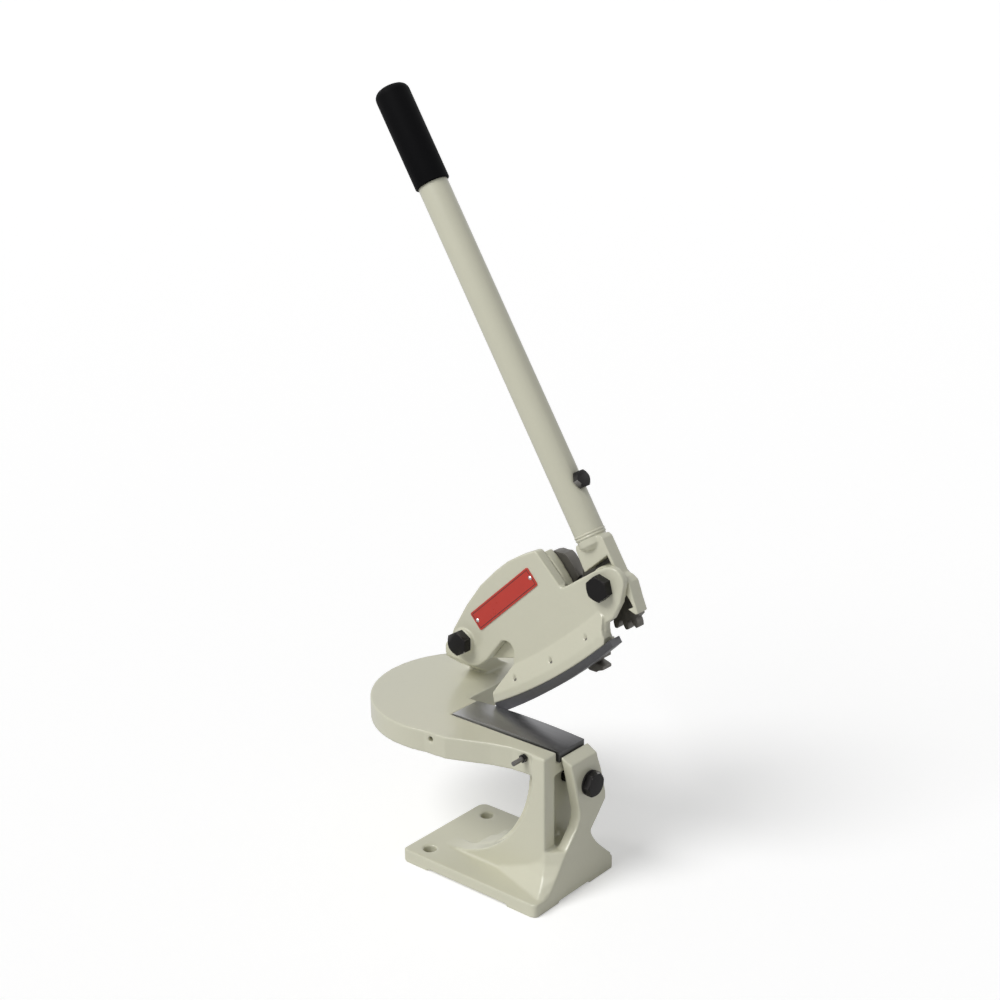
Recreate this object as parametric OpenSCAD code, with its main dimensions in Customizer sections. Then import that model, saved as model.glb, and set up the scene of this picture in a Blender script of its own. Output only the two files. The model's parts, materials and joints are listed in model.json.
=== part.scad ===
// Throatless bench shear with a gear-driven jaw and a long lever.
// X runs along the lower blade to its outer tip, Y points away from the operator, Z is up.
// The origin is on the bench, under the foot, less than 2 mm from its middle.

/* [Foot and column] */
// Length of the bolting foot
foot_l = 183; // [176:1:190]
// Depth of the bolting foot
foot_w = 132; // [128:1:136]
// Thickness of the bolting foot
foot_t = 15; // [12:1:18]
// Diameter of the bench bolt holes
bench_hole_d = 14; // [9:0.5:16]
// Distance of the left bolt holes from the middle of the foot
bench_hole_x = 70; // [62:1:74]
// Distance of the bolt holes from the centre line
bench_hole_y = 47; // [44:1:50]
// Thickness of the column's front web
web_t = 18; // [14:1:22]

/* [Deck] */
// Height of the deck's top face above the bench
deck_z = 160; // [150:1:170]
// Thickness of the deck
deck_t = 25; // [16:1:28]
// Radius of the round part of the deck
deck_r = 107; // [104:1:112]

/* [Blades] */
// Length of the lower blade
lower_l = 145; // [130:1:146]
// Width of the lower blade
lower_w = 41; // [36:1:42]
// Thickness of the lower blade at its ends
lower_t = 11; // [10:0.5:12]
// Rise of the lower blade's top in the middle
lower_crown = 2.5; // [1:0.5:3]
// Radius of the upper blade's cutting edge
edge_r = 706; // [700:1:712]
// Gap between the two cutting planes
blade_gap = 0.15; // [0.05:0.05:0.2]

/* [Gears] */
// Gear module
gear_m = 4; // [3.9:0.05:4]
// Teeth on the full circle of the fixed sector
sector_z = 82; // [82:1:82]
// Teeth on the full circle of the lever pinion
pinion_z = 24; // [24:1:24]
// Backlash at the pitch circle
backlash = 0.3; // [0.2:0.05:0.5]

/* [Lever] */
// Lean of the lever from upright, towards the deck
lean = 31.5; // [28:0.5:34]
// Outer diameter of the handle tube
tube_d = 32; // [28:1:34]
// Wall of the handle tube
tube_wall = 2.9; // [2:0.1:4]
// Distance from the lever pivot to the end of the grip
lever_l = 551; // [480:1:600]
// Length of the rubber grip
grip_l = 109; // [95:1:125]
// Outer diameter of the rubber grip
grip_d = 37; // [35:1:40]

/* [Hidden] */
$fn = 64;
eps = 0.05;

// Planes across the machine, from the operator to the back
cut_y = 33;
jaw_front = 40;
ear_back = 48;
jaw_back = 52;
arm_front = 53;
arm_back = 65;
gear_back = 79;
pinion_back = 75;
head_t = 10;
slide_gap = 0.3;

// Jaw pivot, lever pivot and the gears between them
pivot = [-92, 222.5];
rest_angle = 30.1;
centre_dist = gear_m * (sector_z + pinion_z) / 2;
hinge = pivot + centre_dist * [cos(rest_angle), sin(rest_angle)];
sector_pitch_r = gear_m * sector_z / 2;
pinion_pitch_r = gear_m * pinion_z / 2;
pressure = 20;

// M16 pivot bolts and the smaller screws
bolt_d = 16;
bolt_af = 24;
shaft_bore = 16.1;
clear_bore = 16.2;
bush_d = 20;
screw_d = 8;
rim_hole_d = 6;

// Foot
foot_x1 = 90;
foot_x0 = foot_x1 - foot_l;
foot_y0 = -65;
foot_y1 = foot_y0 + foot_w;
bench_holes = [[-bench_hole_x, bench_hole_y], [-bench_hole_x, -bench_hole_y], [56, bench_hole_y]];

// Deck, land and blade seat
deck_c = [-94, 46];
deck_edge_x = -80.5;
rim_hole_at = -69.8;
rim_hole_z = 152;
rim_hole_l = 16;
land_end_x = 74;
blade_x1 = 76;
blade_x0 = blade_x1 - lower_l;
blade_y0 = cut_y - lower_w;
seat_z = deck_z - lower_t;
seat_gap = 1.4;
land_front = [[-63, -57], [-38, -55], [-15, -45.5], [7.6, -35.7], [31, -29], [52, -28], [land_end_x, -30]];
lower_screw_places = [[-52, 12], [-6, 12]];
stud_x = 47;
stud_z = 153.5;
stud_end_y = -46.3;
stud_d = 5;
stud_nut_af = 8;
stud_nut_h = 3.3;

// Column and end flange
web_y0 = -30;
web_y1 = web_y0 + web_t;
web_arc_r = 125;
web_arc = [57.5 - web_arc_r, 140];
post_arc = [39.5 - web_arc_r, 128];
post_end_x = 60;
flange_x0 = 77;
flange_x1 = foot_x1;
flange_top = 155.5;
flange_slope = 30;
end_bolt_y = 24;
end_bolt_z = 118.5;
end_head_t = 8;
end_washer_t = 1.5;
foot_flare_top = 54;

// Frame arm behind the jaw, round the pivot, and the leaning rib that carries it
arm_r = 158;
arm_low = 8;
arm_high = 50.5;
pivot_boss_r = 24;
rib_x = [-133, -107];

// Gear sector on the arm's back: teeth up to the last one in use, then a plain rounded end
sector_inner_r = 128;
sector_heel_r = 150;
sector_low = -0.6;
sector_high = 50;
sector_plain_r = 168;
sector_plain_end = 44.5;
sector_corner = [[166.8, 45.8], [163, 46.9], [159, 48.7], [153.5, 49.9]];
sector_screw_r = 144;
sector_screw_angles = [7, 25, 43];
dowel_angles = [16, 34];

// Upper jaw
flange_c = [-380, 768.3];
flange_r = 691;
band_h = 31.5;
band_strip = 9.5;
edge_c = [-396, 763.4];
jaw_boss = [-86, 220];
jaw_boss_r = 25.5;
pivot_pad_d = 27;
pad_front = jaw_front - 4.4;
arch_c = [-34.5, 226];
arch_r = 10.5;
notch_c = [40.3, 320.8];
notch_top_c = [5, 341.9];
notch_r = 5;
ear_corner = [102, 336];
ear_corner_r = 16;
ear_recess_d = 110;
blade_y1 = 49;
blade_end = 104;
plate_c = [-36.4, 283.9];
plate_size = [106, 21.5];
plate_tilt = 42.3;
plate_corner_r = 2;
rivet_x = plate_size[0] / 2 - 4;
blade_screw_d = 4;
screw_r = 672.3;
screw_y = 36.1;
screw_tilt = 20;
screw_angles = [-57.6, -52.6, -47.6];

// Lever, measured along its axis from the lever pivot
lever_clearance = 0.5;
lever_y = (ear_back + lever_clearance + arm_back) / 2;
head_half = 19.8;
head_top = 47;
neck_r = 15.5;
tube_start = 55.5;
collar_shape = [[neck_r, -5.5], [16.2, -4.9], [16.5, -4], [16.2, -3.1], [15.8, -2.7], [16.2, -2.3],
    [16.6, -1.4], [16.5, -0.4], [16.1, 0], [neck_r, 0]];
clamp_at = 106.5;
spigot_top = clamp_at + 10;
clamp_af = 17;
clamp_d = 10;
drive_pin_d = 7;
drive_pin_at = [[-13, 35], [0, 35]];
drive_pin_front = 54.5;
pinion_hub_r = 12;
washer_t = 2.5;
lever_bolt_turn = -14;
lever_bolt_l = 38.5;
lever_washer_d = 21;
lever_washer_t = 1.5;
lever_ring_y = pinion_back + slide_gap + lever_washer_t;
lever_ring_d = 15;
lever_ring_t = 1.2;
lever_ring_outer = 19;
lever_ring_gap = 4;

enamel = [0.80, 0.79, 0.71];
plate_red = [0.62, 0.10, 0.09];
bright = [0.62, 0.63, 0.64];
gear_steel = [0.36, 0.35, 0.33];
black_oxide = [0.13, 0.13, 0.14];
bronze = [0.70, 0.52, 0.28];
rubber = [0.05, 0.05, 0.05];

// Points on an arc, from angle a0 to a1
function arc(c, r, a0, a1, n) = [for (i = [0:n]) let (a = a0 + (a1 - a0) * i / n) c + r * [cos(a), sin(a)]];

// Point at radius r and angle a
function turned(r, a) = r * [cos(a), sin(a)];

// Height of the flange's lower edge at x
function flange_z(x) = flange_c[1] - sqrt(flange_r * flange_r - (x - flange_c[0]) * (x - flange_c[0]));

// Left side of the web's curve at height z
function web_x(z) = web_arc[0] + sqrt(max(0, web_arc_r * web_arc_r - (web_arc[1] - z) * (web_arc[1] - z)));

// Extrudes an outline drawn in X and Z from y0 to y1
module slab_y(y0, y1) {
    translate([0, y1, 0])
        rotate([90, 0, 0])
            linear_extrude(y1 - y0)
                children();
}

// Extrudes an outline drawn in Y and Z from x0 to x1
module slab_x(x0, x1) {
    translate([x0, 0, 0])
        rotate([90, 0, 90])
            linear_extrude(x1 - x0)
                children();
}

// Round bar along Y through a point given in X and Z
module rod_y(p, y0, y1, d) {
    translate([p[0], y1, p[1]])
        rotate([90, 0, 0])
            cylinder(d = d, h = y1 - y0);
}

// Ring along Y
module ring_y(p, y0, y1, outer, inner) {
    difference() {
        rod_y(p, y0, y1, outer);
        rod_y(p, y0 - 1, y1 + 1, inner);
    }
}

// Hexagon with its corners turned down to a cone at the far face, standing on z = 0
module hex_blank(af, h) {
    intersection() {
        rotate([0, 0, 30])
            cylinder(d = af / cos(30), h = h, $fn = 6);
        rotate_extrude()
            polygon([[0, 0], [af * 0.6, 0], [af * 0.6, h - af * 0.06], [af * 0.5, h - 0.01],
                [af * 0.46, h], [0, h]]);
    }
}

// Hexagon head with its face at z = -h and its shank towards +z
module hex_bolt(af, h, d, shank) {
    mirror([0, 0, 1])
        hex_blank(af, h);
    translate([0, 0, -eps])
        cylinder(d = d, h = shank + eps);
    translate([0, 0, shank - eps])
        cylinder(d1 = d, d2 = d - 2.4, h = 1.2);
}

// Turns +z to +y at a point given in X and Z
module along_y(p, y) {
    translate([p[0], y, p[1]])
        rotate([-90, 0, 0])
            children();
}

// Socket cap screw with its head above z = 0 and its shank below
module cap_screw(d, shank) {
    difference() {
        union() {
            cylinder(d = d * 1.6, h = d);
            translate([0, 0, -shank])
                cylinder(d = d, h = shank + eps);
        }
        translate([0, 0, d * 0.4])
            cylinder(d = d * 0.9, h = d, $fn = 6);
    }
}

// Frame of the lever: z along its axis, x to its right
module in_lever() {
    translate([hinge[0], 0, hinge[1]])
        rotate([0, -lean, 0])
            children();
}

function inv(a) = tan(a) * 180 / PI - a;

// Half the tooth's angle at radius rho on a gear of pitch radius r
function half_tooth(r, rho, z) =
    let (rb = r * cos(pressure), a = rho > rb ? acos(rb / rho) : 0)
        90 / z - (backlash / 4) / r * 180 / PI + inv(pressure) - inv(a);

// Outline of one involute tooth pointing at angle dir, anticlockwise from root to root
function tooth(r, z, dir) =
    let (root = r - 1.25 * gear_m, base = r * cos(pressure),
        radii = [root, max(root + 0.6, base), r - 0.5 * gear_m, r, r + 0.5 * gear_m, r + gear_m])
        concat([for (q = radii) let (a = dir - half_tooth(r, q, z)) q * [cos(a), sin(a)]],
            [for (i = [len(radii) - 1:-1:0]) let (q = radii[i], a = dir + half_tooth(r, q, z))
                q * [cos(a), sin(a)]]);

module foot() {
    difference() {
        linear_extrude(foot_t)
            polygon(concat(
                arc([foot_x1 - 3, foot_y1 - 3], 3, 0, 90, 4),
                arc([foot_x0 + 9, foot_y1 - 9], 9, 90, 180, 6),
                arc([foot_x0 + 4, foot_y0 + 4], 4, 180, 270, 4),
                arc([foot_x1 - 5, foot_y0 + 5], 5, 270, 360, 5)));
        for (y = [foot_y0 - 44, foot_y1 - 44])
            translate([-58, y, -1])
                cube([110, 88, 3]);
        for (x = [foot_x0 - 26, foot_x1 - 26])
            translate([x, -26, -1])
                cube([52, 52, 3]);
    }
}

module web_and_post() {
    web_curve = arc(web_arc, web_arc_r, -88, 0, 22);
    post_curve = arc(post_arc, web_arc_r, -64, 0, 16);
    post_top = deck_z - deck_t + 1;
    slab_y(web_y0, web_y1)
        polygon(concat(web_curve, [[web_curve[22][0], deck_z - 2], [land_end_x, deck_z - 2], [land_end_x, 5],
            [web_curve[0][0], 5]]));
    slab_y(web_y1 - eps, cut_y)
        polygon(concat(post_curve, [[post_curve[16][0], post_top], [post_end_x, post_top],
            [post_end_x, 5], [post_curve[0][0], 5]]));
}

// Foot of the web, sweeping out to the operator's right-hand corner
module web_flare() {
    steps = [0, 0.3, 0.55, 0.8, 1];
    for (i = [0:len(steps) - 2])
        hull() {
            flare_slice(steps[i]);
            flare_slice(steps[i + 1]);
        }
}

module flare_slice(t) {
    z = foot_flare_top + (foot_t - 3 - foot_flare_top) * t;
    left = web_x(max(z, foot_t + 4));
    right = flange_x1 - 0.5;
    translate([0, 0, z])
        linear_extrude(0.4)
            polygon([[left, -13], [land_end_x + 12 * t * t, web_y0 - 28 * t * t],
                [right, -14 - 40 * (foot_flare_top - z) / foot_flare_top], [right, 10], [left, 10]]);
}

// Waisted plate at the outer end of the column
module end_flange() {
    difference() {
        slab_x(flange_x0, flange_x1)
            polygon([[-7.9, flange_top], [-5.6, 147], [-1, 130], [5, 105], [8, 92], [8, 82], [3, 72],
                [-14, foot_flare_top], [-44, 14], [-54, 4], [62.5, 4], [62.5, 19.5], [51.2, 30],
                [43.3, 37.5], [37.4, 44], [31.5, 52.2], [27.6, 59.8], [28.5, 62.7], [39.8, 74.7], [51.5, 87],
                [53, 91], [52, 98], [44, 128], [38, 143], [36.5, flange_top]]);
        translate([flange_x0 - 1, -20, flange_top + tan(flange_slope)])
            rotate([0, flange_slope, 0])
                cube([30, 80, 20]);
    }
}

module deck_outline() {
    difference() {
        union() {
            translate(deck_c)
                circle(deck_r, $fn = 128);
            polygon(concat(land_front, [[land_end_x, cut_y], [deck_c[0], cut_y], [deck_c[0], -50]]));
        }
        translate([deck_edge_x, cut_y])
            square([200, 200]);
    }
}

module deck() {
    translate([0, 0, deck_z - deck_t])
        linear_extrude(deck_t)
            deck_outline();
}

// Arm that carries the jaw pivot and the gear sector, and the rib that stands on the deck behind it
module rear_arm() {
    slab_y(arm_front, arm_back)
        polygon(concat(arc(pivot, pivot_boss_r, 200, 118, 8), arc(pivot, arm_r, arm_high, arm_low, 18),
            [[50, 226], [36, 222], [-35, 212.4], [-78, 201], [-92, 192], [-105, 189], [-118, 189],
            [rib_x[0], 192], [rib_x[0], 203]]));
    slab_x(rib_x[0], rib_x[1])
        polygon([[arm_front + 1, 205], [arm_front + 1, 189], [60, 184], [75, 173], [88, 165],
            [97, deck_z - 2], [134, deck_z - 2], [128, deck_z + 2], [118, 168],
            [99, 186], [80, 201], [arm_back + 1, 207]]);
}

module rim_hole() {
    p = deck_c + deck_r * [cos(rim_hole_at), sin(rim_hole_at)];
    translate([p[0], p[1], rim_hole_z])
        rotate([0, 90, rim_hole_at])
            translate([0, 0, -rim_hole_l])
                cylinder(d = rim_hole_d, h = rim_hole_l + 14, $fn = 32);
}

module frame_casting() {
    color(enamel)
        difference() {
            union() {
                foot();
                web_and_post();
                web_flare();
                end_flange();
                deck();
                rear_arm();
            }
            translate([blade_x0 - 0.4, blade_y0 - seat_gap, seat_z])
                cube([lower_l + 1, cut_y - blade_y0 + seat_gap + 1, 30]);
            for (p = bench_holes)
                translate([p[0], p[1], -1])
                    cylinder(d = bench_hole_d, h = foot_t + 4);
            rim_hole();
            rod_y(pivot, arm_front - 1, arm_back + 1, clear_bore);
            translate([30, end_bolt_y, end_bolt_z])
                rotate([0, 90, 0])
                    cylinder(d = clear_bore, h = 100);
            for (p = lower_screw_places)
                translate([p[0], p[1], deck_z - deck_t - 1])
                    cylinder(d = screw_d + 0.4, h = 20);
            translate([stud_x, web_y0 - 20, stud_z])
                rotate([-90, 0, 0])
                    cylinder(d = stud_d + 0.2, h = 50);
            for (a = sector_screw_angles)
                rod_y(pivot + sector_screw_r * [cos(a), sin(a)], arm_front - 1, arm_back + 1, screw_d + 0.4);
            for (a = dowel_angles)
                rod_y(pivot + sector_screw_r * [cos(a), sin(a)], arm_front - 1, arm_back + 1, screw_d);
        }
}

module lower_blade() {
    crown_r = (lower_l * lower_l / 4 + lower_crown * lower_crown) / (2 * lower_crown);
    half = asin(lower_l / 2 / crown_r);
    mid_x = blade_x0 + lower_l / 2;
    color(bright)
        difference() {
            slab_y(blade_y0, cut_y)
                polygon(concat([[blade_x0, seat_z + slide_gap / 10], [blade_x1, seat_z + slide_gap / 10]],
                    arc([mid_x, deck_z + lower_crown - crown_r], crown_r, 90 - half, 90 + half, 16)));
            for (p = lower_screw_places)
                translate([p[0], p[1], seat_z - 1])
                    cylinder(d = screw_d, h = 8);
        }
}

module lower_blade_screws() {
    color(black_oxide)
        for (p = lower_screw_places)
            translate([p[0], p[1], deck_z - deck_t])
                mirror([0, 0, 1])
                    cap_screw(screw_d, deck_t - lower_t + 6);
}

module blade_adjust_stud() {
    color(black_oxide)
        translate([stud_x, stud_end_y, stud_z])
            rotate([-90, 0, 0])
                cylinder(d = stud_d, h = blade_y0 - stud_end_y);
}

module stud_locknut() {
    color(black_oxide)
        translate([stud_x, web_y0 + 0.9, stud_z])
            rotate([90, 0, 0])
                difference() {
                    hex_blank(stud_nut_af, stud_nut_h);
                    translate([0, 0, -1])
                        cylinder(d = stud_d, h = stud_nut_h + 2);
                }
}

module end_bolt() {
    color(black_oxide)
        translate([flange_x1 + end_washer_t, end_bolt_y, end_bolt_z])
            rotate([0, -90, 0])
                hex_bolt(bolt_af, end_head_t, bolt_d, 50);
}

module end_bolt_washer() {
    color(black_oxide)
        translate([flange_x1, end_bolt_y, end_bolt_z])
            rotate([0, 90, 0])
                difference() {
                    cylinder(d = bolt_af + 3, h = end_washer_t);
                    translate([0, 0, -1])
                        cylinder(d = clear_bore, h = 5);
                }
}

module gear_sector() {
    root_r = sector_pitch_r - 1.25 * gear_m;
    pitch = 360 / sector_z;
    first_tooth = rest_angle + pitch / 2;
    color(gear_steel)
        difference() {
            slab_y(arm_back, gear_back)
                translate(pivot)
                    polygon(concat([turned(sector_heel_r, sector_low), turned(root_r, sector_low)],
                        [for (k = [-7:0], q = tooth(sector_pitch_r, sector_z, first_tooth + k * pitch)) q],
                        [for (i = [0:5]) tooth(sector_pitch_r, sector_z, first_tooth + pitch)[i]],
                        arc([0, 0], sector_plain_r, first_tooth + pitch, sector_plain_end, 6),
                        [for (q = sector_corner) turned(q[0], q[1])],
                        arc([0, 0], sector_inner_r, sector_high, 6, 20)));
            for (a = sector_screw_angles)
                rod_y(pivot + sector_screw_r * [cos(a), sin(a)], arm_back - 1, gear_back + 1, screw_d + 0.4);
            for (a = dowel_angles)
                rod_y(pivot + sector_screw_r * [cos(a), sin(a)], arm_back - 1, gear_back + 1, screw_d);
        }
}

module sector_screws() {
    color(black_oxide)
        for (a = sector_screw_angles)
            along_y(pivot + sector_screw_r * [cos(a), sin(a)], gear_back)
                cap_screw(screw_d, gear_back - arm_front - 1);
}

module sector_dowels() {
    color(bright)
        for (a = dowel_angles)
            rod_y(pivot + sector_screw_r * [cos(a), sin(a)], arm_front + 1, gear_back + 0.5, screw_d);
}

module pivot_bolt() {
    color(black_oxide)
        along_y(pivot, pad_front - slide_gap)
            hex_bolt(bolt_af, head_t, bolt_d, jaw_front - pad_front + 44);
}

module thrust_washer() {
    color(bronze)
        ring_y(pivot, jaw_back + 0.1, arm_front, 34, clear_bore);
}

module pivot_washer() {
    color(black_oxide)
        ring_y(pivot, arm_back, arm_back + washer_t, 30, clear_bore);
}

module hex_nut_y(p, y) {
    along_y(p, y)
        difference() {
            hex_blank(bolt_af, 13);
            translate([0, 0, -1])
                cylinder(d = bolt_d, h = 15);
        }
}

module pivot_nut() {
    color(black_oxide)
        hex_nut_y(pivot, arm_back + washer_t);
}

// Outline of the jaw plate, seen from the front
module jaw_outline() {
    polygon(concat(
        arc(jaw_boss, jaw_boss_r, 150, 318, 14),
        [[-61, 208]],
        arc(arch_c, arch_r, 128, 0, 8),
        [[-24, 212.5], [-48, 176.5]],
        [for (x = [-42:22:90]) [x, flange_z(x) + 5]],
        [[98, flange_z(98) + 5], [97, 291.5], [105, 297.6], [114, 316]],
        arc(ear_corner, ear_corner_r, 0, 110, 7),
        arc([hinge[0], hinge[1]], 17.5, 118, 124, 1),
        arc(notch_c, notch_r, -55.3, -135, 4),
        arc(notch_top_c, notch_r, 45, 116.1, 4),
        [[-14.4, 338], [-32, 327], [-48.4, 313], [-70, 291], [-89.6, 264]]));
}

// Thick lower band of the jaw, sloping forward to the cutting plane
module jaw_band() {
    front = cut_y + slide_gap;
    band_slope = (jaw_front - front) / (band_h - band_strip);
    band_top_r = flange_r - band_h - 3;
    intersection() {
        translate([flange_c[0], 0, flange_c[1]])
            rotate([90, 0, 0])
                mirror([0, 0, 1])
                    rotate_extrude($fn = 360)
                        polygon([[flange_r, front], [flange_r, jaw_back], [band_top_r, jaw_back],
                            [band_top_r, jaw_front + 3 * band_slope], [flange_r - band_strip, front]]);
        slab_y(front - 1, jaw_back + 1)
            polygon([[-48.6, 175.2], [-44, 150], [99.5, 255], [99.5, 277], [95.5, 284], [94.5, 298],
                [80, 306], [-19, 221.1]]);
    }
}

// Round bar along a blade screw, between two distances from the screw hole's mouth
module screw_line(a, from, to, d) {
    p = flange_c + screw_r * [cos(a), sin(a)];
    translate([p[0], screw_y, p[1]])
        rotate([0, 90 - a, 0])
            rotate([-screw_tilt, 0, 0])
                translate([0, 0, from])
                    cylinder(d = d, h = to - from, $fn = 32);
}

module upper_jaw() {
    color(enamel)
        difference() {
            union() {
                slab_y(jaw_front, jaw_back)
                    jaw_outline();
                jaw_band();
                rod_y(pivot, pad_front, jaw_front + 1, pivot_pad_d);
            }
            rod_y(pivot, pad_front - 1, jaw_back + 1, bush_d + 0.04);
            rod_y(hinge, jaw_front - 1, jaw_back + 1, clear_bore);
            rod_y(hinge, ear_back, jaw_back + 1, ear_recess_d);
            for (a = screw_angles)
                screw_line(a, -8, 23, blade_screw_d + 0.4);
        }
}

module pivot_bush() {
    color(bronze)
        ring_y(pivot, pad_front, jaw_back, bush_d, shaft_bore);
}

module upper_blade() {
    color(bright)
        difference() {
            slab_y(cut_y + blade_gap, blade_y1)
                intersection() {
                    difference() {
                        translate(edge_c)
                            circle(edge_r, $fn = 720);
                        translate(flange_c)
                            circle(flange_r + 0.02, $fn = 720);
                    }
                    polygon([[-44.5, 165.5], [-39, 152], [20, 160], [118, 262], [blade_end, 282],
                        [20, 240]]);
                }
            for (a = screw_angles)
                screw_line(a, 17, 27.5, blade_screw_d);
        }
}

module upper_blade_screws() {
    color(black_oxide)
        for (a = screw_angles)
            screw_line(a, 2.5, 26.5, blade_screw_d);
}

module on_plate() {
    translate([plate_c[0], jaw_front, plate_c[1]])
        rotate([0, -plate_tilt, 0])
            rotate([90, 0, 0])
                children();
}

module name_plate() {
    corner = plate_size / 2 - [plate_corner_r, plate_corner_r];
    color(plate_red)
        on_plate()
            difference() {
                linear_extrude(1)
                    polygon(concat(arc([corner[0], corner[1]], plate_corner_r, 0, 90, 3),
                        arc([-corner[0], corner[1]], plate_corner_r, 90, 180, 3),
                        arc([-corner[0], -corner[1]], plate_corner_r, 180, 270, 3),
                        arc([corner[0], -corner[1]], plate_corner_r, 270, 360, 3)));
                for (s = [-1, 1])
                    translate([s * rivet_x, 0, -1])
                        cylinder(d = 2.6, h = 4, $fn = 24);
            }
}

module plate_rivets() {
    color(bright)
        on_plate()
            for (s = [-1, 1])
                translate([s * rivet_x, 0, 0]) {
                    cylinder(d = 2.5, h = 1.2, $fn = 24);
                    translate([0, 0, 1])
                        cylinder(d1 = 4.4, d2 = 2.4, h = 0.9, $fn = 24);
                }
}

module lever_bolt() {
    color(black_oxide)
        difference() {
            along_y(hinge, jaw_front)
                rotate([0, 0, lever_bolt_turn])
                    hex_bolt(bolt_af, head_t, bolt_d, lever_bolt_l);
            ring_y(hinge, lever_ring_y, lever_ring_y + lever_ring_t, bolt_d + 4, lever_ring_d);
        }
}

module lever_washer() {
    color(black_oxide)
        ring_y(hinge, pinion_back + slide_gap, lever_ring_y, lever_washer_d, clear_bore);
}

// Retaining ring in the bolt's groove
module lever_ring() {
    color(black_oxide)
        difference() {
            ring_y(hinge, lever_ring_y, lever_ring_y + lever_ring_t, lever_ring_outer, lever_ring_d);
            translate([hinge[0] - lever_ring_gap / 2, lever_ring_y - 1, hinge[1] - 20])
                cube([lever_ring_gap, 4, 20]);
        }
}

// Lever head: block under the tube, side wall past the pivot, hub and tail lug
module lever_casting() {
    front = ear_back + lever_clearance;
    hub_r = 19;
    wall_in = 16;
    hub_side = acos(wall_in / hub_r);
    spigot_r = tube_d / 2 - tube_wall - 0.1;
    color(enamel)
        difference() {
            union() {
                slab_y(front, arm_back)
                    translate(hinge)
                        rotate(lean)
                            polygon(concat([[-20.8, 20], [wall_in, 26.8]],
                                arc([0, 0], hub_r, hub_side, 360 - hub_side, 20),
                                [[18.6, -22.3], [19.1, -31], [11.7, -30.5], [18, -38.5], [21.5, -38.5],
                                [23.6, -25], [25.5, -16], [27.2, -7], [24, -0.5], [head_half, 4],
                                [head_half, head_top - 3],
                                [17, head_top + 1], [-17, head_top + 1], [-19.5, head_top - 3]]));
                in_lever()
                    difference() {
                        translate([0, lever_y, 0])
                            rotate_extrude()
                                polygon([[0, 36], [neck_r - 4, 38], [neck_r, 43], [neck_r, tube_start],
                                    [spigot_r, tube_start], [spigot_r, spigot_top], [0, spigot_top]]);
                        translate([-60, arm_back - 2, 0])
                            cube([120, 30, head_top - 1.5]);
                    }
            }
            rod_y(hinge, front - 1, arm_back + 1, bush_d + 0.04);
            in_lever() {
                translate([-20, lever_y, clamp_at])
                    rotate([0, 90, 0])
                        cylinder(d = clamp_d, h = 50);
                for (p = drive_pin_at)
                    translate([p[0], arm_back + 1, p[1]])
                        rotate([90, 0, 0])
                            cylinder(d = drive_pin_d, h = 13);
            }
        }
}

module lever_bush() {
    color(bronze)
        ring_y(hinge, ear_back + lever_clearance, pinion_back, bush_d, shaft_bore);
}

module pinion() {
    root_r = pinion_pitch_r - 1.25 * gear_m;
    pitch = 360 / pinion_z;
    first_gap = 180 + rest_angle - lean;
    color(gear_steel)
        difference() {
            slab_y(arm_back, pinion_back)
                translate(hinge)
                    rotate(lean)
                        polygon(concat(
                            [for (j = [-1:6], q = tooth(pinion_pitch_r, pinion_z, first_gap + j * pitch)) q],
                            [[8, -41], [12.3, -6]], arc([0, 0], pinion_hub_r, -15, 35, 6),
                            [[7, 16], [6, 24]],
                            arc([0, 0], root_r, 82, 154, 16)));
            rod_y(hinge, arm_back - 1, pinion_back + 1, bush_d + 0.04);
            in_lever()
                for (p = drive_pin_at)
                    translate([p[0], pinion_back + 1, p[1]])
                        rotate([90, 0, 0])
                            cylinder(d = drive_pin_d, h = 16);
        }
}

module drive_pins() {
    color(bright)
        in_lever()
            for (p = drive_pin_at)
                translate([p[0], pinion_back + 0.5, p[1]])
                    rotate([90, 0, 0])
                        cylinder(d = drive_pin_d, h = pinion_back + 0.5 - drive_pin_front);
}

module weld_collar() {
    color(enamel)
        in_lever()
            translate([0, lever_y, 0])
                rotate_extrude()
                    polygon([for (q = collar_shape) [q[0], q[1] + tube_start]]);
}

module handle_tube() {
    color(enamel)
        in_lever()
            translate([0, lever_y, 0])
                difference() {
                    translate([0, 0, tube_start])
                        cylinder(d = tube_d, h = lever_l - 12 - tube_start);
                    translate([0, 0, tube_start - 1])
                        cylinder(d = tube_d - 2 * tube_wall, h = lever_l);
                    translate([0, 0, clamp_at])
                        rotate([0, 90, 0])
                            cylinder(d = clamp_d + 0.4, h = 30);
                }
}

module clamp_bolt() {
    color(black_oxide)
        in_lever()
            translate([tube_d / 2 + 0.4, lever_y, clamp_at])
                rotate([0, -90, 0])
                    hex_bolt(clamp_af, 7, clamp_d, 24);
}

module grip() {
    mouth = lever_l - grip_l;
    r = grip_d / 2;
    color(rubber)
        in_lever()
            translate([0, lever_y, 0])
                rotate_extrude()
                    polygon(concat([[tube_d / 2 + 0.05, mouth], [r - 1, mouth], [r, mouth + 1]],
                        arc([r - 9, lever_l - 9], 9, 0, 90, 6),
                        [[0, lever_l], [0, lever_l - 11.5], [tube_d / 2 + 0.05, lever_l - 11.5]]));
}

frame_casting();
lower_blade();
lower_blade_screws();
blade_adjust_stud();
stud_locknut();
end_bolt();
end_bolt_washer();
gear_sector();
sector_screws();
sector_dowels();
pivot_bolt();
thrust_washer();
pivot_washer();
pivot_nut();
upper_jaw();
pivot_bush();
upper_blade();
upper_blade_screws();
name_plate();
plate_rivets();
lever_bolt();
lever_washer();
lever_ring();
lever_casting();
lever_bush();
pinion();
drive_pins();
weld_collar();
handle_tube();
clamp_bolt();
grip();
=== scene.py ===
"""Looks of the throatless shear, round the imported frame.

Every piece is in metres, in the frame's own axes: X along the lower blade, Y away from the operator, Z up.
"""

import json
import math

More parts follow.
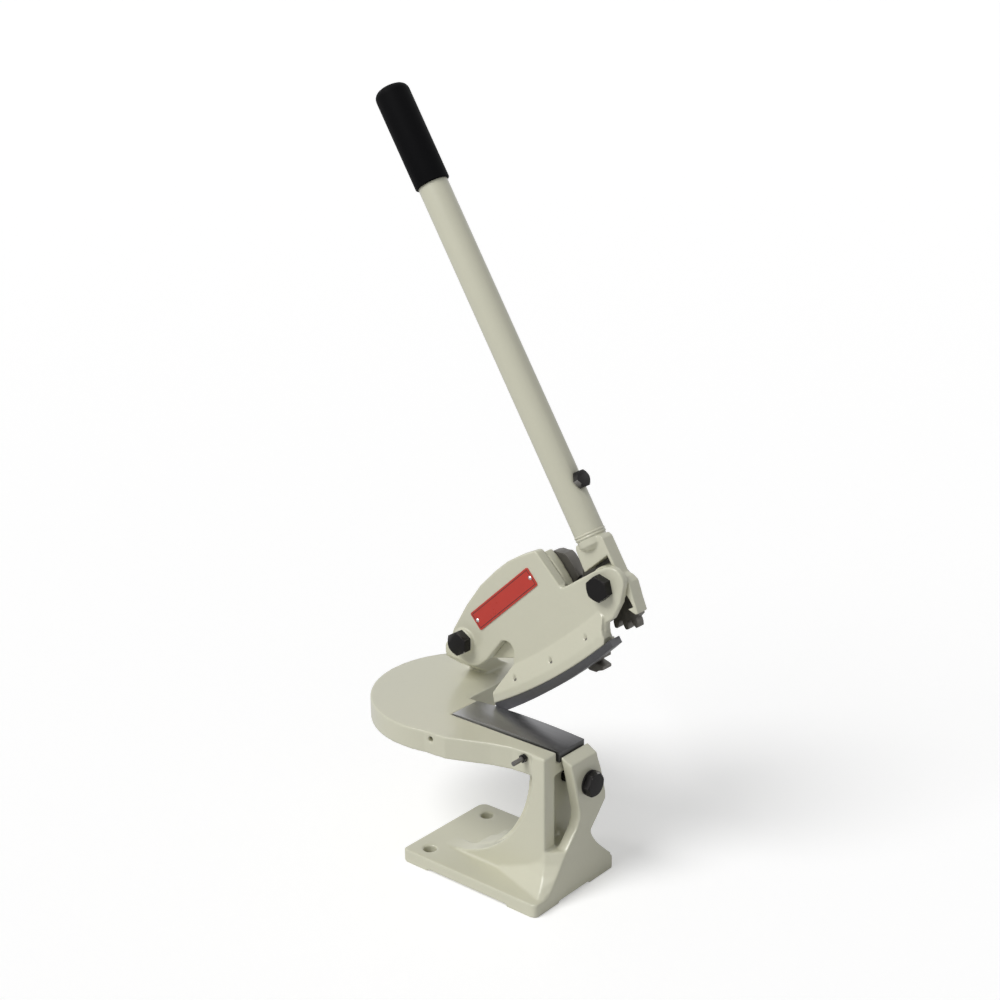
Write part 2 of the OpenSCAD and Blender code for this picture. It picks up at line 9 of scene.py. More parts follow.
import bmesh
import bpy
from bpy.props import FloatProperty, FloatVectorProperty, IntProperty, PointerProperty
from mathutils import Matrix, Vector


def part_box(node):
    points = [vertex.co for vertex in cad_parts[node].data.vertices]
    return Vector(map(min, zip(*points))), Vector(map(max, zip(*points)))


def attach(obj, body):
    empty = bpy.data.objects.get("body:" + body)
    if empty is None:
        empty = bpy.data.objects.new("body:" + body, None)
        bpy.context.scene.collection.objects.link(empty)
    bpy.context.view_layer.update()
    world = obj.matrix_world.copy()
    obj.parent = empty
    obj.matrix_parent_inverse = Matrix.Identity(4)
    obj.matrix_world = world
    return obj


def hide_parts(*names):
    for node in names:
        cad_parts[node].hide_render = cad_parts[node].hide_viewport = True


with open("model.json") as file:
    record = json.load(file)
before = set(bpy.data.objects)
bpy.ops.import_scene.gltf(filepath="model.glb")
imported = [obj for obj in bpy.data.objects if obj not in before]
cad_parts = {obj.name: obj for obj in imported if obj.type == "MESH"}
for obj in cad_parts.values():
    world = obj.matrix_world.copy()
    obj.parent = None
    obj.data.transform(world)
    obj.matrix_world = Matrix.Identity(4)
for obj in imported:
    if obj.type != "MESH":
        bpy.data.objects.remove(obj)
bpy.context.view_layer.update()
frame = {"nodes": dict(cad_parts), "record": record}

bl_info = {
    "name": "Throatless shear",
    "version": (1, 0, 0),
    "blender": (4, 5, 0),
    "location": "View3D > Sidebar > Shear",
    "description": "Castings, blades, gears, bolts, handle and stage of a bench shear",
    "category": "Object",
}

MM = 0.001

BLADE_LOW, BLADE_HIGH = (Vector(corner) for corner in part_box("lower_blade"))

# The plate on the jaw
PLATE_CENTRE = Vector((-36.4, 40.0, 283.9)) * MM
PLATE_TILT = math.radians(42.3)
PLATE_SIZE = (106 * MM, 21.5 * MM)
PLATE_LINE_INSET = 2.2 * MM
PLATE_LINE_WIDTH = 0.7 * MM
PLATE_LINE_COLOUR = (0.012, 0.012, 0.013)

# Colours and finishes that the panel doesn't offer
PIN_COLOUR = (0.62, 0.62, 0.63)
BRONZE_COLOUR = (0.6, 0.4, 0.19)
WORN_BOLT_COLOUR = (0.3, 0.29, 0.28)
WORN_GEAR_COLOUR = (0.42, 0.4, 0.37)
ENAMEL_ROUGHNESS = 0.32

# Share of the faces that the frame and jaw, and the smaller lever head, keep after rounding
CAST_KEEP = 0.4
LEVER_KEEP = 0.5
SMOOTH_FACTOR = 0.5

# Bevels: edges past SHARP_ANGLE get one, and what is past SMOOTH_ANGLE afterwards stays sharp
WELD_DISTANCE = 0.02 * MM
FLAT_ANGLE = math.radians(1)
SHARP_ANGLE = math.radians(30)
SMOOTH_ANGLE = math.radians(25)
BEVEL_SEGMENTS = 2
BEVEL_PROFILE = 0.6


# Meshes


def new_object(name, mesh, body, material):
    """A piece in the scene, with its body and material."""
    piece = bpy.data.objects.new(name, mesh)
    bpy.context.scene.collection.objects.link(piece)
    mesh.materials.clear()
    mesh.materials.append(material)
    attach(piece, body)
    return piece


def bends_past(edge, limit):
    return len(edge.link_faces) == 2 and edge.calc_face_angle() > limit


def from_bmesh(name, bm):
    """A mesh from bm, with smooth faces and sharp edges past SMOOTH_ANGLE."""
    bmesh.ops.recalc_face_normals(bm, faces=bm.faces)
    for face in bm.faces:
        face.smooth = True
    for edge in bm.edges:
        if bends_past(edge, SMOOTH_ANGLE):
            edge.smooth = False
    mesh = bpy.data.meshes.new(name)
    bm.to_mesh(mesh)
    bm.free()
    return mesh


def softened(node, voxel, passes, keep):
    """The CAD node's shape with rounded edges and filled corners, as a cast piece has.

    voxel is the size of the new faces in metres, passes the rounds of smoothing and keep the share of
    faces kept.
    """
    source = frame["nodes"][node]
    carrier = bpy.data.objects.new("carrier", source.data.copy())
    bpy.context.scene.collection.objects.link(carrier)
    remesh = carrier.modifiers.new("remesh", "REMESH")
    remesh.mode = "VOXEL"
    remesh.voxel_size = voxel
    smooth = carrier.modifiers.new("smooth", "SMOOTH")
    smooth.factor = SMOOTH_FACTOR
    smooth.iterations = passes
    fewer = carrier.modifiers.new("fewer", "DECIMATE")
    fewer.ratio = keep
    graph = bpy.context.evaluated_depsgraph_get()
    mesh = bpy.data.meshes.new_from_object(carrier.evaluated_get(graph))
    old = carrier.data
    bpy.data.objects.remove(carrier)
    bpy.data.meshes.remove(old)
    mesh.polygons.foreach_set("use_smooth", [True] * len(mesh.polygons))
    return mesh


def bevelled(node, width):
    """The CAD node's shape with its flat faces rejoined and its edges bevelled by width in metres."""
    bm = bmesh.new()
    bm.from_mesh(frame["nodes"][node].data)
    bmesh.ops.remove_doubles(bm, verts=bm.verts, dist=WELD_DISTANCE)
    bmesh.ops.dissolve_limit(bm, angle_limit=FLAT_ANGLE, verts=bm.verts, edges=bm.edges)
    sharp = [edge for edge in bm.edges if bends_past(edge, SHARP_ANGLE)]
    bmesh.ops.bevel(bm, geom=sharp, offset=width, segments=BEVEL_SEGMENTS, affect="EDGES",
                    profile=BEVEL_PROFILE, clamp_overlap=True)
    bmesh.ops.triangulate(bm, faces=[face for face in bm.faces if len(face.verts) > 4])
    return from_bmesh(node, bm)


# Shader node groups


def group(name, inputs, outputs):
    """A new shader group with its sockets, and its input and output nodes."""
    tree = bpy.data.node_groups.new(name, "ShaderNodeTree")
    for label, kind, default in inputs:
        socket = tree.interface.new_socket(name=label, in_out="INPUT", socket_type=kind)
        if default is not None:
            socket.default_value = default
    for label, kind in outputs:
        tree.interface.new_socket(name=label, in_out="OUTPUT", socket_type=kind)
    return tree, tree.nodes.new("NodeGroupInput"), tree.nodes.new("NodeGroupOutput")


def surface_variation():
    """Broad and fine mottling, as a mask and a height."""
    tree, inp, out = group(
        "surface variation",
        [("Broad Scale", "NodeSocketFloat", 18.0), ("Fine Scale", "NodeSocketFloat", 400.0),
         ("Fine Share", "NodeSocketFloat", 0.3)],
        [("Mask", "NodeSocketFloat"), ("Height", "NodeSocketFloat")])
    nodes, links = tree.nodes, tree.links
    place = nodes.new("ShaderNodeTexCoord")
    broad = nodes.new("ShaderNodeTexNoise")
    broad.inputs["Detail"].default_value = 3
    fine = nodes.new("ShaderNodeTexNoise")
    fine.inputs["Detail"].default_value = 2
    for tex, socket in ((broad, "Broad Scale"), (fine, "Fine Scale")):
        links.new(place.outputs["Object"], tex.inputs["Vector"])
        links.new(inp.outputs[socket], tex.inputs["Scale"])
    mix = nodes.new("ShaderNodeMix")
    mix.data_type = "FLOAT"
    links.new(inp.outputs["Fine Share"], mix.inputs["Factor"])
    links.new(broad.outputs["Fac"], mix.inputs["A"])
    links.new(fine.outputs["Fac"], mix.inputs["B"])
    links.new(mix.outputs["Result"], out.inputs["Mask"])
    links.new(fine.outputs["Fac"], out.inputs["Height"])
    return tree


def machining_grain():
    """Fine parallel grinding lines along one axis, as a mask and a height."""
    tree, inp, out = group(
        "machining grain",
        [("Stretch", "NodeSocketVector", (8.0, 600.0, 600.0))],
        [("Mask", "NodeSocketFloat"), ("Height", "NodeSocketFloat")])
    nodes, links = tree.nodes, tree.links
    place = nodes.new("ShaderNodeTexCoord")
    scaled = nodes.new("ShaderNodeVectorMath")
    scaled.operation = "MULTIPLY"
    lines = nodes.new("ShaderNodeTexNoise")
    lines.inputs["Scale"].default_value = 1.0
    lines.inputs["Detail"].default_value = 4
    links.new(place.outputs["Object"], scaled.inputs[0])
    links.new(inp.outputs["Stretch"], scaled.inputs[1])
    links.new(scaled.outputs["Vector"], lines.inputs["Vector"])
    links.new(lines.outputs["Fac"], out.inputs["Mask"])
    links.new(lines.outputs["Fac"], out.inputs["Height"])
    return tree


def edge_light():
    """How convex the surface is, as a mask for thin or worn finish on edges."""
    tree, inp, out = group(
        "edge light",
        [("Low", "NodeSocketFloat", 0.52), ("High", "NodeSocketFloat", 0.6)],
        [("Mask", "NodeSocketFloat")])
    nodes, links = tree.nodes, tree.links
    shape = nodes.new("ShaderNodeNewGeometry")
    span = nodes.new("ShaderNodeMapRange")
    links.new(shape.outputs["Pointiness"], span.inputs["Value"])
    links.new(inp.outputs["Low"], span.inputs["From Min"])
    links.new(inp.outputs["High"], span.inputs["From Max"])
    links.new(span.outputs["Result"], out.inputs["Mask"])
    return tree


GROUPS = {}


def effect(tree, name, **values):
    """Places the shared group in a material with its own values."""
    if name not in GROUPS:
        makers = {"variation": surface_variation, "grain": machining_grain, "edge": edge_light}
        GROUPS[name] = makers[name]()
    node = tree.nodes.new("ShaderNodeGroup")
    node.node_tree = GROUPS[name]
    for label, value in values.items():
        node.inputs[label.replace("_", " ")].default_value = value
    return node


# Materials


def plain_material(name, colour, roughness, metallic=0.0):
    material = bpy.data.materials.new(name)
    material.use_nodes = True
    shader = material.node_tree.nodes["Principled BSDF"]
    shader.inputs["Base Color"].default_value = (*colour, 1)
    shader.inputs["Roughness"].default_value = roughness
    shader.inputs["Metallic"].default_value = metallic
    return material, material.node_tree, shader


def two_tone(tree, mask, dark, light):
    """Colour between dark and light by mask."""
    mix = tree.nodes.new("ShaderNodeMix")
    mix.data_type = "RGBA"
    mix.inputs["A"].default_value = (*dark, 1)
    mix.inputs["B"].default_value = (*light, 1)
    tree.links.new(mask, mix.inputs["Factor"])
    return mix.outputs["Result"]


def ranged(tree, value, low, high):
    """The middle of a noise value's range, 0.3 to 0.7, spread over low to high."""
    span = tree.nodes.new("ShaderNodeMapRange")
    span.inputs["From Min"].default_value = 0.3
    span.inputs["From Max"].default_value = 0.7
    span.inputs["To Min"].default_value = low
    span.inputs["To Max"].default_value = high
    tree.links.new(value, span.inputs["Value"])
    return span.outputs["Result"]


def bump(tree, shader, height, distance, strength=1.0):
    node = tree.nodes.new("ShaderNodeBump")
    node.inputs["Distance"].default_value = distance
    node.inputs["Strength"].default_value = strength
    tree.links.new(height, node.inputs["Height"])
    tree.links.new(node.outputs["Normal"], shader.inputs["Normal"])


def shade(colour, by):
    return tuple(min(1.0, c * by) for c in colour)


def enamel(name, colour):
    """Cream enamel over a dressed casting."""
    material, tree, shader = plain_material(name, colour, ENAMEL_ROUGHNESS)
    shader.inputs["Coat Weight"].default_value = 0.35
    shader.inputs["Coat Roughness"].default_value = 0.12
    skin = effect(tree, "variation", Broad_Scale=16.0, Fine_Scale=260.0, Fine_Share=0.35)
    tree.links.new(two_tone(tree, skin.outputs["Mask"], shade(colour, 0.955), shade(colour, 1.03)),
                   shader.inputs["Base Color"])
    tree.links.new(ranged(tree, skin.outputs["Mask"], ENAMEL_ROUGHNESS - 0.04, ENAMEL_ROUGHNESS + 0.06),
                   shader.inputs["Roughness"])
    bump(tree, shader, skin.outputs["Height"], 0.00035, 0.35)
    return material


def ground_steel(name, colour, roughness, stretch):
    """Bright steel with grinding lines."""
    material, tree, shader = plain_material(name, colour, roughness, 1.0)
    grain = effect(tree, "grain", Stretch=stretch)
    tree.links.new(two_tone(tree, grain.outputs["Mask"], shade(colour, 0.86), shade(colour, 1.1)),
                   shader.inputs["Base Color"])
    tree.links.new(ranged(tree, grain.outputs["Mask"], roughness - 0.06, roughness + 0.08),
                   shader.inputs["Roughness"])
    bump(tree, shader, grain.outputs["Height"], 0.0001, 0.25)
    return material


def lower_blade_steel_painted_light_and_shade(name, colour):
    """Ground steel with painted light and shade: brighter at the inner end and darker towards the outer end,
    where the crowned top reflects and then slopes away from the light.
    """
    material, tree, shader = plain_material(name, colour, 0.36, 1.0)
    grain = effect(tree, "grain", Stretch=(10.0, 420.0, 700.0))
    place = tree.nodes.new("ShaderNodeTexCoord")
    apart = tree.nodes.new("ShaderNodeSeparateXYZ")
    along = tree.nodes.new("ShaderNodeMapRange")
    along.inputs["From Min"].default_value = BLADE_LOW.x
    along.inputs["From Max"].default_value = BLADE_HIGH.x
    tree.links.new(place.outputs["Object"], apart.inputs["Vector"])
    tree.links.new(apart.outputs["X"], along.inputs["Value"])
    # Painted light and shade along the blade: lighter at the inner end, darker at the outer end, for the
    # crowned top.
    field = two_tone(tree, along.outputs["Result"], shade(colour, 1.35), shade(colour, 0.34))
    mix = tree.nodes.new("ShaderNodeMix")
    mix.data_type = "RGBA"
    mix.blend_type = "MULTIPLY"
    mix.inputs["Factor"].default_value = 1.0
    tree.links.new(field, mix.inputs["A"])
    tree.links.new(two_tone(tree, grain.outputs["Mask"], (0.86, 0.86, 0.86), (1.0, 1.0, 1.0)),
                   mix.inputs["B"])
    tree.links.new(mix.outputs["Result"], shader.inputs["Base Color"])
    tree.links.new(ranged(tree, grain.outputs["Mask"], 0.3, 0.44), shader.inputs["Roughness"])
    bump(tree, shader, grain.outputs["Height"], 0.0001, 0.25)
    return material


def oxide(name, colour, worn, roughness):
    """Blackened or oiled steel with a little bare metal on its edges."""
    material, tree, shader = plain_material(name, colour, roughness, 0.75)
    skin = effect(tree, "variation", Broad_Scale=60.0, Fine_Scale=900.0, Fine_Share=0.5)
    edge = effect(tree, "edge", Low=0.53, High=0.66)
    base = two_tone(tree, skin.outputs["Mask"], shade(colour, 0.75), shade(colour, 1.35))
    mix = tree.nodes.new("ShaderNodeMix")
    mix.data_type = "RGBA"
    mix.inputs["B"].default_value = (*worn, 1)
    tree.links.new(base, mix.inputs["A"])
    tree.links.new(edge.outputs["Mask"], mix.inputs["Factor"])
    tree.links.new(mix.outputs["Result"], shader.inputs["Base Color"])
    tree.links.new(ranged(tree, skin.outputs["Mask"], roughness - 0.08, roughness + 0.1),
                   shader.inputs["Roughness"])
    bump(tree, shader, skin.outputs["Height"], 0.00012, 0.4)
    return material


def rubber(name, colour):
    """Moulded black rubber, slightly worn."""
    material, tree, shader = plain_material(name, colour, 0.6)
    shader.inputs["Specular IOR Level"].default_value = 0.05
    skin = effect(tree, "variation", Broad_Scale=40.0, Fine_Scale=1400.0, Fine_Share=0.5)
    tree.links.new(two_tone(tree, skin.outputs["Mask"], shade(colour, 0.7), shade(colour, 1.5)),
                   shader.inputs["Base Color"])
    tree.links.new(ranged(tree, skin.outputs["Mask"], 0.52, 0.66), shader.inputs["Roughness"])
    bump(tree, shader, skin.outputs["Height"], 0.0001, 0.5)
    return material


def plate_border(tree):
    """Mask of a thin line that runs round the plate, inside its edge."""
    place = tree.nodes.new("ShaderNodeTexCoord")
    turned = tree.nodes.new("ShaderNodeVectorRotate")
    turned.rotation_type = "Y_AXIS"
    turned.inputs["Center"].default_value = PLATE_CENTRE
    turned.inputs["Angle"].default_value = PLATE_TILT
    tree.links.new(place.outputs["Object"], turned.inputs["Vector"])
    local = tree.nodes.new("ShaderNodeVectorMath")
    local.operation = "SUBTRACT"
    local.inputs[1].default_value = PLATE_CENTRE
    tree.links.new(turned.outputs["Vector"], local.inputs[0])
    apart = tree.nodes.new("ShaderNodeSeparateXYZ")
    tree.links.new(local.outputs["Vector"], apart.inputs["Vector"])
    outside = []
    for axis, half in (("X", PLATE_SIZE[0] / 2), ("Z", PLATE_SIZE[1] / 2)):
        size = tree.nodes.new("ShaderNodeMath")
        size.operation = "ABSOLUTE"
        tree.links.new(apart.outputs[axis], size.inputs[0])
        past = tree.nodes.new("ShaderNodeMath")
        past.operation = "SUBTRACT"
        past.inputs[1].default_value = half - PLATE_LINE_INSET
        tree.links.new(size.outputs["Value"], past.inputs[0])
        outside.append(past.outputs["Value"])
    nearest = tree.nodes.new("ShaderNodeMath")
    nearest.operation = "MAXIMUM"
    tree.links.new(outside[0], nearest.inputs[0])
    tree.links.new(outside[1], nearest.inputs[1])
    on_line = tree.nodes.new("ShaderNodeMath")
    on_line.operation = "COMPARE"
    on_line.inputs[1].default_value = 0.0
    on_line.inputs[2].default_value = PLATE_LINE_WIDTH / 2
    tree.links.new(nearest.outputs["Value"], on_line.inputs[0])
    return on_line.outputs["Value"]


def plate_finish(name, colour, line_colour):
    """Baked enamel on thin sheet, slightly uneven, with a thin dark line inside its edge."""
    material, tree, shader = plain_material(name, colour, 0.3)
    skin = effect(tree, "variation", Broad_Scale=70.0, Fine_Scale=1200.0, Fine_Share=0.3)
    field = two_tone(tree, skin.outputs["Mask"], shade(colour, 0.9), shade(colour, 1.08))
    mix = tree.nodes.new("ShaderNodeMix")
    mix.data_type = "RGBA"
    mix.inputs["B"].default_value = (*line_colour, 1)
    tree.links.new(field, mix.inputs["A"])
    tree.links.new(plate_border(tree), mix.inputs["Factor"])
    tree.links.new(mix.outputs["Result"], shader.inputs["Base Color"])
    tree.links.new(ranged(tree, skin.outputs["Mask"], 0.26, 0.36), shader.inputs["Roughness"])
    bump(tree, shader, skin.outputs["Height"], 0.00005, 0.4)
    return material


FINISHES = {}


def finish_for(finish):
    """One finish, made once. Each blade has its own, which carries painted light and shade, and the others are
    named as their slots.
    """
    if finish in FINISHES:
        return FINISHES[finish]
    looks = bpy.context.scene.shear_finishes
    makers = {
        "enamel": lambda: enamel("cream enamel", tuple(looks.enamel_colour)),
        "lower_blade": lambda: lower_blade_steel_painted_light_and_shade("lower blade steel with painted light and shade", tuple(looks.blade_colour)),
        # The upper blade's darker steel is painted shade: the same blade steel, darkened for the shadow under
        # the jaw's flange.
        "upper_blade": lambda: ground_steel("upper blade steel with painted shade", tuple(looks.upper_blade_painted_shade_colour), 0.38,
                                            (420.0, 10.0, 420.0)),
        "black_oxide": lambda: oxide("black oxide", tuple(looks.bolt_colour), WORN_BOLT_COLOUR, 0.42),
        "gear_steel": lambda: oxide("oiled gear steel", tuple(looks.gear_colour), WORN_GEAR_COLOUR, 0.45),
        "ground_pin": lambda: ground_steel("ground pin steel", PIN_COLOUR, 0.28, (300.0, 300.0, 300.0)),
        "bronze": lambda: ground_steel("bearing bronze", BRONZE_COLOUR, 0.36, (400.0, 400.0, 40.0)),
        "plate_red": lambda: plate_finish("red plate enamel", tuple(looks.plate_colour), PLATE_LINE_COLOUR),
        "grip_rubber": lambda: rubber("grip rubber", tuple(looks.grip_colour)),
    }
    FINISHES[finish] = makers[finish]()
    return FINISHES[finish]


def finish_node(node, slot):
    """Gives a CAD node that shows as it is the finish of its slot."""
    mesh = frame["nodes"][node].data
    mesh.materials.clear()
    mesh.materials.append(finish_for(slot))


def body_of_node(node):
    for body, members in frame["record"]["behaviour"]["bodies"].items():
        if node in members:
            return body
    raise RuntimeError("no body holds " + node)


def stand_for(node, mesh, slot, finish=None):
    """A piece that replaces one CAD node, on that node's body.

    It has the slot's finish unless another is given.
    """
    piece = new_object(node + "_finished", mesh, body_of_node(node), finish_for(finish or slot))
    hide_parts(node)
    return piece


# Properties


class ShearFinishes(bpy.types.PropertyGroup):
    enamel_colour: FloatVectorProperty(name="Enamel", description="Colour of the painted castings and handle",
                                       default=(0.63, 0.62, 0.49), size=3, min=0, max=1, subtype="COLOR")
    blade_colour: FloatVectorProperty(name="Blade steel", description="Colour of the ground lower blade",
                                      default=(0.34, 0.34, 0.35), size=3, min=0, max=1, subtype="COLOR")
    # Painted shade: the upper blade is the same blade steel, darkened for the shadow under the jaw's flange.
    upper_blade_painted_shade_colour: FloatVectorProperty(name="Upper blade", description="Colour of the darker upper blade",
                                            default=(0.12, 0.12, 0.125), size=3, min=0, max=1, subtype="COLOR")
    bolt_colour: FloatVectorProperty(name="Bolt oxide", description="Colour of the blackened bolts",
                                     default=(0.014, 0.013, 0.013), size=3, min=0, max=1, subtype="COLOR")
    gear_colour: FloatVectorProperty(name="Gear steel", description="Colour of the oiled gears",
                                     default=(0.10, 0.095, 0.085), size=3, min=0, max=1, subtype="COLOR")
    plate_colour: FloatVectorProperty(name="Plate", description="Colour of the plate on the jaw",
                                      default=(0.52, 0.033, 0.019), size=3, min=0, max=1, subtype="COLOR")
    grip_colour: FloatVectorProperty(name="Grip", description="Colour of the rubber grip",
                                     default=(0.003, 0.003, 0.0035), size=3, min=0, max=1, subtype="COLOR")


class ShearSizes(bpy.types.PropertyGroup):
    cast_voxel: FloatProperty(name="Casting detail", description="Face size on the castings",
                              default=1.3 * MM, min=0.6 * MM, max=3 * MM, unit="LENGTH", precision=5)
    cast_passes: IntProperty(name="Casting rounding", description="Rounds of smoothing on the castings",
                             default=6, min=1, max=20)
    gear_bevel: FloatProperty(name="Gear edge", description="Width of the broken edge on the gears",
                              default=0.35 * MM, min=0.05 * MM, max=1 * MM, unit="LENGTH", precision=5)
    blade_edge: FloatProperty(name="Blade edge", description="Width of the broken edge on the blades",
                              default=0.3 * MM, min=0.05 * MM, max=1 * MM, unit="LENGTH", precision=5)
    bolt_edge: FloatProperty(name="Bolt edge", description="Width of the worn edge on bolts and nuts",
                             default=0.25 * MM, min=0.05 * MM, max=0.6 * MM, unit="LENGTH", precision=5)
    tube_edge: FloatProperty(name="Tube edge", description="Width of the rounded edge on the tube and grip",
                             default=0.3 * MM, min=0.05 * MM, max=1 * MM, unit="LENGTH", precision=5)


# Pieces


class SHEAR_OT_castings(bpy.types.Operator):
    """Frame, jaw and lever head with cast edges and fillets"""
    bl_idname = "shear.castings"
    bl_label = "Castings"

    def execute(self, context):
        sizes = context.scene.shear_sizes
        voxel, passes = sizes.cast_voxel, sizes.cast_passes
        stand_for("frame_casting", softened("frame_casting", voxel, passes, CAST_KEEP), "enamel")
        stand_for("upper_jaw", softened("upper_jaw", voxel * 0.75, passes, CAST_KEEP), "enamel")
        stand_for("lever_casting", softened("lever_casting", voxel * 0.55, passes, LEVER_KEEP), "enamel")
        return {"FINISHED"}


class SHEAR_OT_blades(bpy.types.Operator):
    """Ground upper and lower blades"""
    bl_idname = "shear.blades"
    bl_label = "Blades"

    def execute(self, context):
        edge = context.scene.shear_sizes.blade_edge
        stand_for("lower_blade", bevelled("lower_blade", edge), "blade_steel", "lower_blade")
        stand_for("upper_blade", bevelled("upper_blade", edge), "blade_steel", "upper_blade")
        return {"FINISHED"}


class SHEAR_OT_gears(bpy.types.Operator):
    """Fixed sector and lever pinion with broken edges"""
    bl_idname = "shear.gears"
    bl_label = "Gears"

    def execute(self, context):
        for node in ("gear_sector", "pinion"):
            stand_for(node, bevelled(node, context.scene.shear_sizes.gear_bevel), "gear_steel")
        return {"FINISHED"}


class SHEAR_OT_fasteners(bpy.types.Operator):
    """Bolts, nuts, washers, screws and pins"""
    bl_idname = "shear.fasteners"
    bl_label = "Fasteners"

    def execute(self, context):
        edge = context.scene.shear_sizes.bolt_edge
        for node in ("pivot_bolt", "lever_bolt", "end_bolt", "clamp_bolt", "pivot_nut", "stud_locknut",
                     "end_bolt_washer", "pivot_washer", "lever_washer", "lever_ring", "sector_screws"):
            stand_for(node, bevelled(node, edge), "black_oxide")
        for node in ("lower_blade_screws", "blade_adjust_stud", "upper_blade_screws"):
            finish_node(node, "black_oxide")
        for node in ("sector_dowels", "plate_rivets", "drive_pins"):
            finish_node(node, "ground_pin")
        for node in ("thrust_washer", "pivot_bush", "lever_bush"):
            finish_node(node, "bronze")
        return {"FINISHED"}


class SHEAR_OT_handle(bpy.types.Operator):
    """Painted tube and rubber grip"""
    bl_idname = "shear.handle"
    bl_label = "Handle"

    def execute(self, context):
        edge = context.scene.shear_sizes.tube_edge
        stand_for("handle_tube", bevelled("handle_tube", edge), "enamel")
        stand_for("grip", bevelled("grip", edge), "grip_rubber")
        stand_for("weld_collar", bevelled("weld_collar", edge / 3), "enamel")
        return {"FINISHED"}


class SHEAR_OT_plate(bpy.types.Operator):
    """Red plate with a thin line, on the jaw"""
    bl_idname = "shear.plate"
    bl_label = "Plate"

    def execute(self, context):
        finish_node("name_plate", "plate_red")
        return {"FINISHED"}


class SHEAR_OT_stage(bpy.types.Operator):
    """Pale floor, soft lamps and the camera"""
    bl_idname = "shear.stage"
    bl_label = "Stage"

    def execute(self, context):
        floor()
        lamps()
        camera()
        return {"FINISHED"}


# Stage

# The camera's place and angles, found from the photograph
CAMERA_AT = Vector((1.0242, -1.2129, 0.9392))
CAMERA_AZIMUTH = math.radians(40.35)
CAMERA_ELEVATION = math.radians(18.38)
CAMERA_ROLL = math.radians(-0.587)
CAMERA_LENS = 60.53

# Strength of the room's light, and what the floor adds for the camera so that it comes out white
ROOM_LIGHT = 0.26
FLOOR_LIFT = 0.34
FLOOR_COLOUR = (0.86, 0.86, 0.86)
FLOOR_HALF = 60.0
FLOOR_DROP = 0.2 * MM

# Each lamp's name, place, width in degrees and strength
LAMPS = (("key", (-0.55, -1.7, 2.3), 32, 1.98), ("fill", (2.0, -0.9, 1.5), 40, 0.05))
LAMP_TARGET = Vector((0.0, 0.03, 0.3))


def floor():
    """Pale floor that shows white to the camera, under a white room."""
    bm = bmesh.new()
    bmesh.ops.create_grid(bm, x_segments=1, y_segments=1, size=FLOOR_HALF)
    mesh = bpy.data.meshes.new("floor")
    bm.to_mesh(mesh)
    bm.free()
    ground = bpy.data.objects.new("floor", mesh)
    bpy.context.scene.collection.objects.link(ground)
    ground.location.z = -FLOOR_DROP
    material, tree, shader = plain_material("pale floor", FLOOR_COLOUR, 0.9)
    glow = tree.nodes.new("ShaderNodeEmission")
    glow.inputs["Color"].default_value = (1, 1, 1, 1)
    path = tree.nodes.new("ShaderNodeLightPath")
    strength = tree.nodes.new("ShaderNodeMath")
    strength.operation = "MULTIPLY"
    strength.inputs[1].default_value = FLOOR_LIFT
    tree.links.new(path.outputs["Is Camera Ray"], strength.inputs[0])
    tree.links.new(strength.outputs["Value"], glow.inputs["Strength"])
    both = tree.nodes.new("ShaderNodeAddShader")
    tree.links.new(shader.outputs["BSDF"], both.inputs[0])
    tree.links.new(glow.outputs["Emission"], both.inputs[1])
    tree.links.new(both.outputs["Shader"], tree.nodes["Material Output"].inputs["Surface"])
    mesh.materials.append(material)

    world = bpy.data.worlds.new("white room")
    bpy.context.scene.world = world
    world.use_nodes = True
    tree = world.node_tree
    back = tree.nodes["Background"]
    path = tree.nodes.new("ShaderNodeLightPath")
    seen = tree.nodes.new("ShaderNodeMath")
    seen.operation = "MAXIMUM"
    tree.links.new(path.outputs["Is Camera Ray"], seen.inputs[0])
    tree.links.new(path.outputs["Is Glossy Ray"], seen.inputs[1])
    strength = tree.nodes.new("ShaderNodeMapRange")
    strength.inputs["To Min"].default_value = ROOM_LIGHT
    strength.inputs["To Max"].default_value = 1.0
    tree.links.new(seen.outputs["Value"], strength.inputs["Value"])
    tree.links.new(strength.outputs["Result"], back.inputs["Strength"])
    back.inputs["Color"].default_value = (1, 1, 1, 1)


def lamps():
    """A soft key from the front left, even over the whole floor, and a weak fill from the right."""
    for name, place, angle, strength in LAMPS:
        light = bpy.data.lights.new(name, "SUN")
        light.angle = math.radians(angle)
        light.energy = strength
        lamp = bpy.data.objects.new(name, light)
        bpy.context.scene.collection.objects.link(lamp)
        lamp.location = place
        lamp.rotation_euler = (LAMP_TARGET - Vector(place)).to_track_quat("-Z", "Y").to_euler()


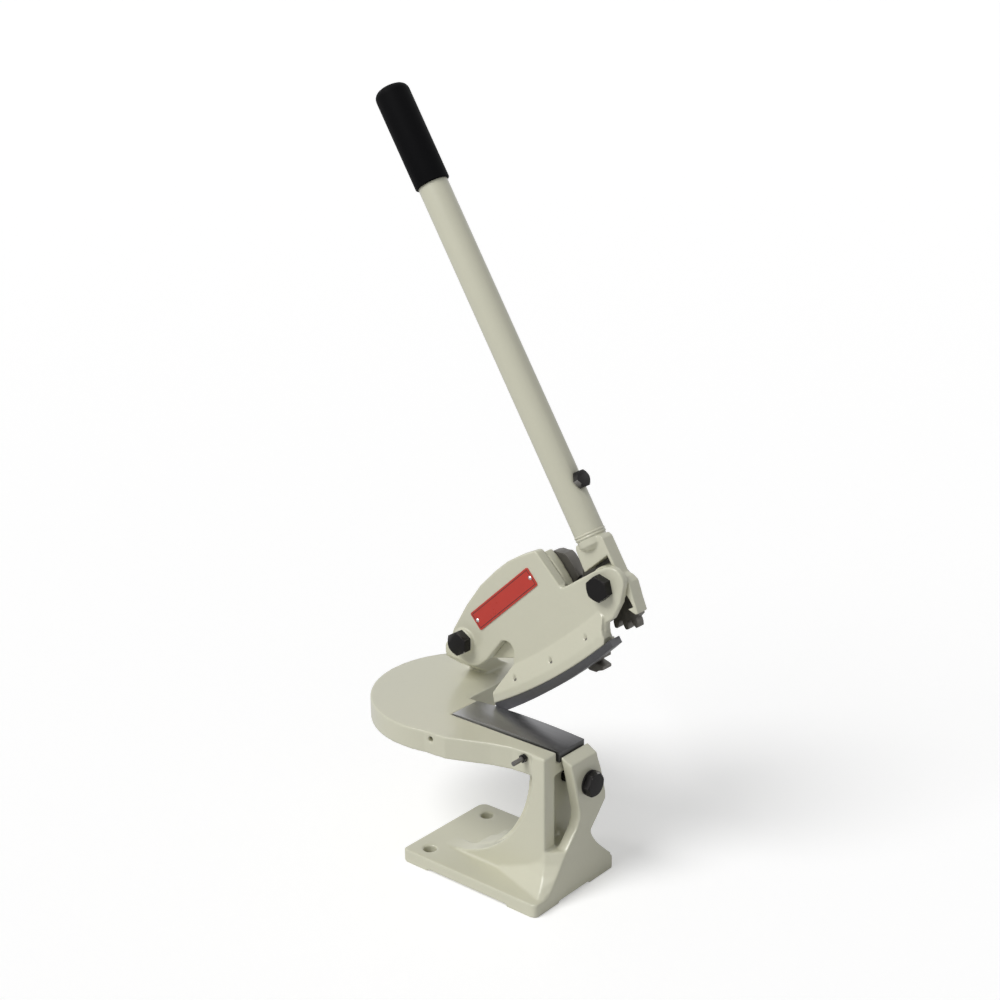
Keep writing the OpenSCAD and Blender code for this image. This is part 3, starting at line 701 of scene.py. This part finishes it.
def camera():
    """The camera at the photograph's angle."""
    back = Vector((math.sin(CAMERA_AZIMUTH) * math.cos(CAMERA_ELEVATION),
                   -math.cos(CAMERA_AZIMUTH) * math.cos(CAMERA_ELEVATION), math.sin(CAMERA_ELEVATION)))
    level = Vector((math.cos(CAMERA_AZIMUTH), math.sin(CAMERA_AZIMUTH), 0))
    up = back.cross(level)
    right = math.cos(CAMERA_ROLL) * level + math.sin(CAMERA_ROLL) * up
    up = back.cross(right)
    lens = bpy.data.cameras.new("camera")
    lens.lens = CAMERA_LENS
    lens.sensor_width = 36
    lens.sensor_fit = "HORIZONTAL"
    lens.clip_end = 50
    viewer = bpy.data.objects.new("camera", lens)
    bpy.context.scene.collection.objects.link(viewer)
    viewer.matrix_world = Matrix.Translation(CAMERA_AT) @ Matrix((right, up, back)).transposed().to_4x4()
    bpy.context.scene.camera = viewer
    bpy.context.scene.view_settings.view_transform = "Standard"


class SHEAR_PT_pieces(bpy.types.Panel):
    """Lists the pieces and their sizes and colours"""
    bl_idname = "SHEAR_PT_pieces"
    bl_label = "Throatless shear"
    bl_space_type = "VIEW_3D"
    bl_region_type = "UI"
    bl_category = "Shear"

    def draw(self, context):
        for holder in (context.scene.shear_finishes, context.scene.shear_sizes):
            for name in holder.__annotations__:
                self.layout.prop(holder, name)
        for operator in OPERATORS:
            self.layout.operator(operator.bl_idname)


OPERATORS = (SHEAR_OT_castings, SHEAR_OT_blades, SHEAR_OT_gears, SHEAR_OT_fasteners, SHEAR_OT_handle,
             SHEAR_OT_plate, SHEAR_OT_stage)
CLASSES = (ShearFinishes, ShearSizes, *OPERATORS, SHEAR_PT_pieces)


def register():
    for cls in CLASSES:
        bpy.utils.register_class(cls)
    bpy.types.Scene.shear_finishes = PointerProperty(type=ShearFinishes)
    bpy.types.Scene.shear_sizes = PointerProperty(type=ShearSizes)


def unregister():
    del bpy.types.Scene.shear_sizes
    del bpy.types.Scene.shear_finishes
    for cls in reversed(CLASSES):
        bpy.utils.unregister_class(cls)


def main():
    register()
    for operator in OPERATORS:
        group_name, piece = operator.bl_idname.split(".")
        getattr(getattr(bpy.ops, group_name), piece)()


if __name__ == "__main__":
    main()
